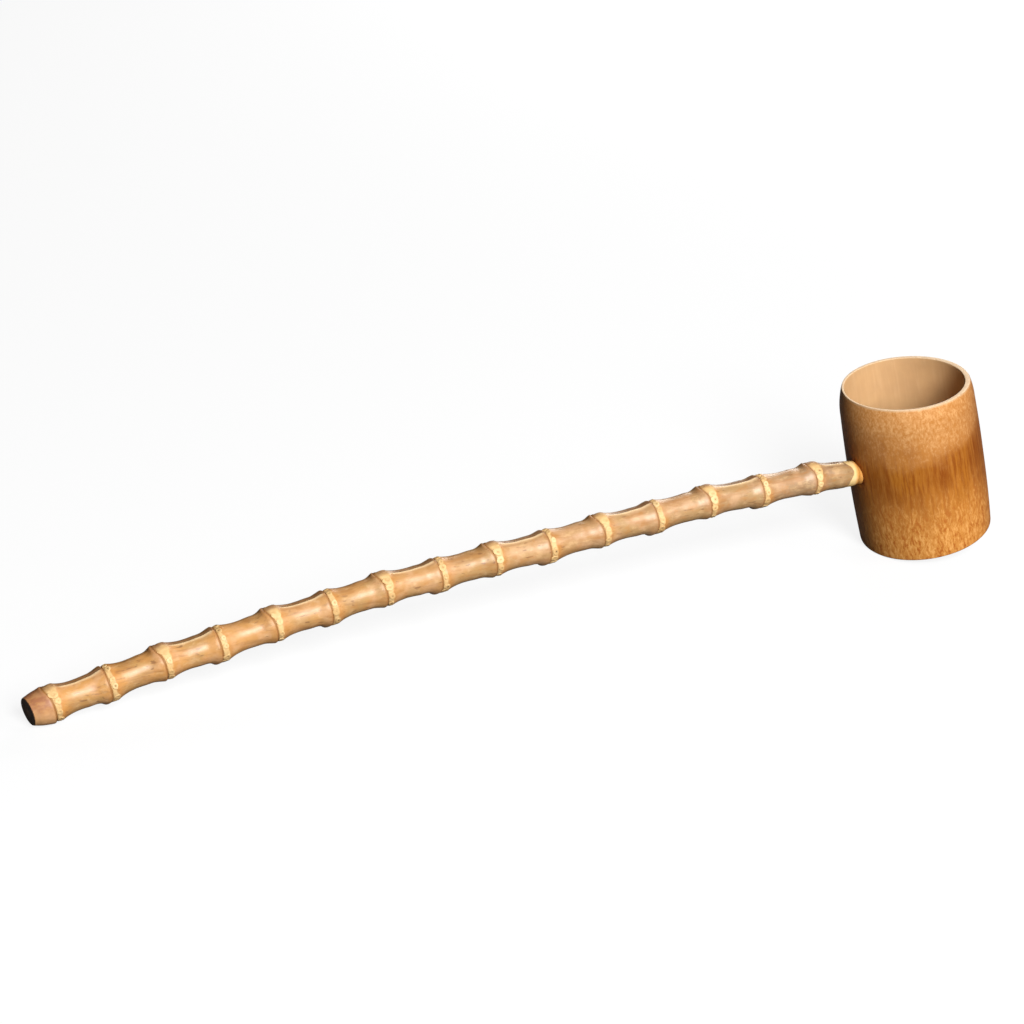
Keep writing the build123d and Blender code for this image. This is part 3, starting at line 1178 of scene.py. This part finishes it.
class DIPPER_OT_peg(bpy.types.Operator):
    """Build the peg that locks the tenon inside the cup"""
    bl_idname = "dipper.peg"
    bl_label = "Peg"

    def execute(self, context):
        cup, cane, peg = context.scene.dipper_cup, context.scene.dipper_cane, context.scene.dipper_peg
        skin = peg_skin(peg)
        bmesh.ops.transform(skin, matrix=peg_frame(cup, cane, peg), verts=skin.verts)
        piece = add_piece("lock_peg", skin, [peg_finish(context.scene.dipper_colours)], "peg")
        piece.data.shade_flat()
        return {"FINISHED"}


class DIPPER_OT_stage(bpy.types.Operator):
    """Set the floor, the lights and the camera"""
    bl_idname = "dipper.stage"
    bl_label = "Stage"

    def execute(self, context):
        scene = context.scene
        floor = bmesh.new()
        bmesh.ops.create_grid(floor, x_segments=1, y_segments=1, size=6.0)
        mesh = as_mesh("stage_floor", floor)
        mesh.materials.append(stage_finish(scene.dipper_colours))
        stage = add_object("stage_floor", mesh)
        for name, spot, size, power in LAMPS:
            data = bpy.data.lights.new(name, "AREA")
            data.energy = power
            data.shape = "RECTANGLE"
            data.size, data.size_y = size
            lamp = add_object(name, data)
            lamp.location = spot
            aim = Vector(LAMP_AIM) - Vector(spot)
            lamp.rotation_euler = aim.to_track_quat("-Z", "Y").to_euler()
        world = bpy.data.worlds.new("studio")
        world.use_nodes = True
        background = world.node_tree.nodes["Background"]
        background.inputs["Color"].default_value = (1, 1, 1, 1)
        path = world.node_tree.nodes.new("ShaderNodeLightPath")
        level = world.node_tree.nodes.new("ShaderNodeMath")
        level.operation = "MULTIPLY_ADD"
        level.inputs[1].default_value = WORLD_SEEN
        level.inputs[2].default_value = WORLD_LIGHT
        world.node_tree.links.new(path.outputs["Is Camera Ray"], level.inputs[0])
        world.node_tree.links.new(level.outputs[0], background.inputs["Strength"])
        scene.world = world
        data = bpy.data.cameras.new("camera")
        data.lens = CAMERA_LENS
        data.sensor_width = 36
        camera = add_object("camera", data)
        camera.location = CAMERA_PLACE
        camera.rotation_euler = (radians(90 - CAMERA_DOWN), 0, radians(CAMERA_TURN))
        scene.camera = camera
        scene.view_settings.view_transform = "Standard"
        return {"FINISHED"}


class DIPPER_PT_panel(bpy.types.Panel):
    """Sizes, colours and pieces of the dipper"""
    bl_label = "Bamboo Water Dipper"
    bl_idname = "DIPPER_PT_panel"
    bl_space_type = "VIEW_3D"
    bl_region_type = "UI"
    bl_category = "Dipper"

    def draw(self, context):
        for group in GROUPS:
            box = self.layout.box()
            box.label(text=group.removeprefix("dipper_").title())
            settings = getattr(context.scene, group)
            for name in settings.__annotations__:
                box.prop(settings, name, text=name.replace("_", " ").capitalize())
        for operator in OPERATORS:
            self.layout.operator(operator.bl_idname)


GROUPS = {
    "dipper_cup": DipperCup,
    "dipper_cane": DipperCane,
    "dipper_peg": DipperPeg,
    "dipper_colours": DipperColours,
}
OPERATORS = (DIPPER_OT_cup, DIPPER_OT_handle, DIPPER_OT_peg, DIPPER_OT_stage)


def register():
    for kind in (*GROUPS.values(), *OPERATORS, DIPPER_PT_panel):
        bpy.utils.register_class(kind)
    for name, group in GROUPS.items():
        setattr(bpy.types.Scene, name, PointerProperty(type=group))


def unregister():
    for name in GROUPS:
        delattr(bpy.types.Scene, name)
    for kind in (DIPPER_PT_panel, *OPERATORS, *GROUPS.values()):
        bpy.utils.unregister_class(kind)


def main():
    register()
    bpy.ops.dipper.cup()
    bpy.ops.dipper.handle()
    bpy.ops.dipper.peg()
    bpy.ops.dipper.stage()


if __name__ == "__main__":
    main()
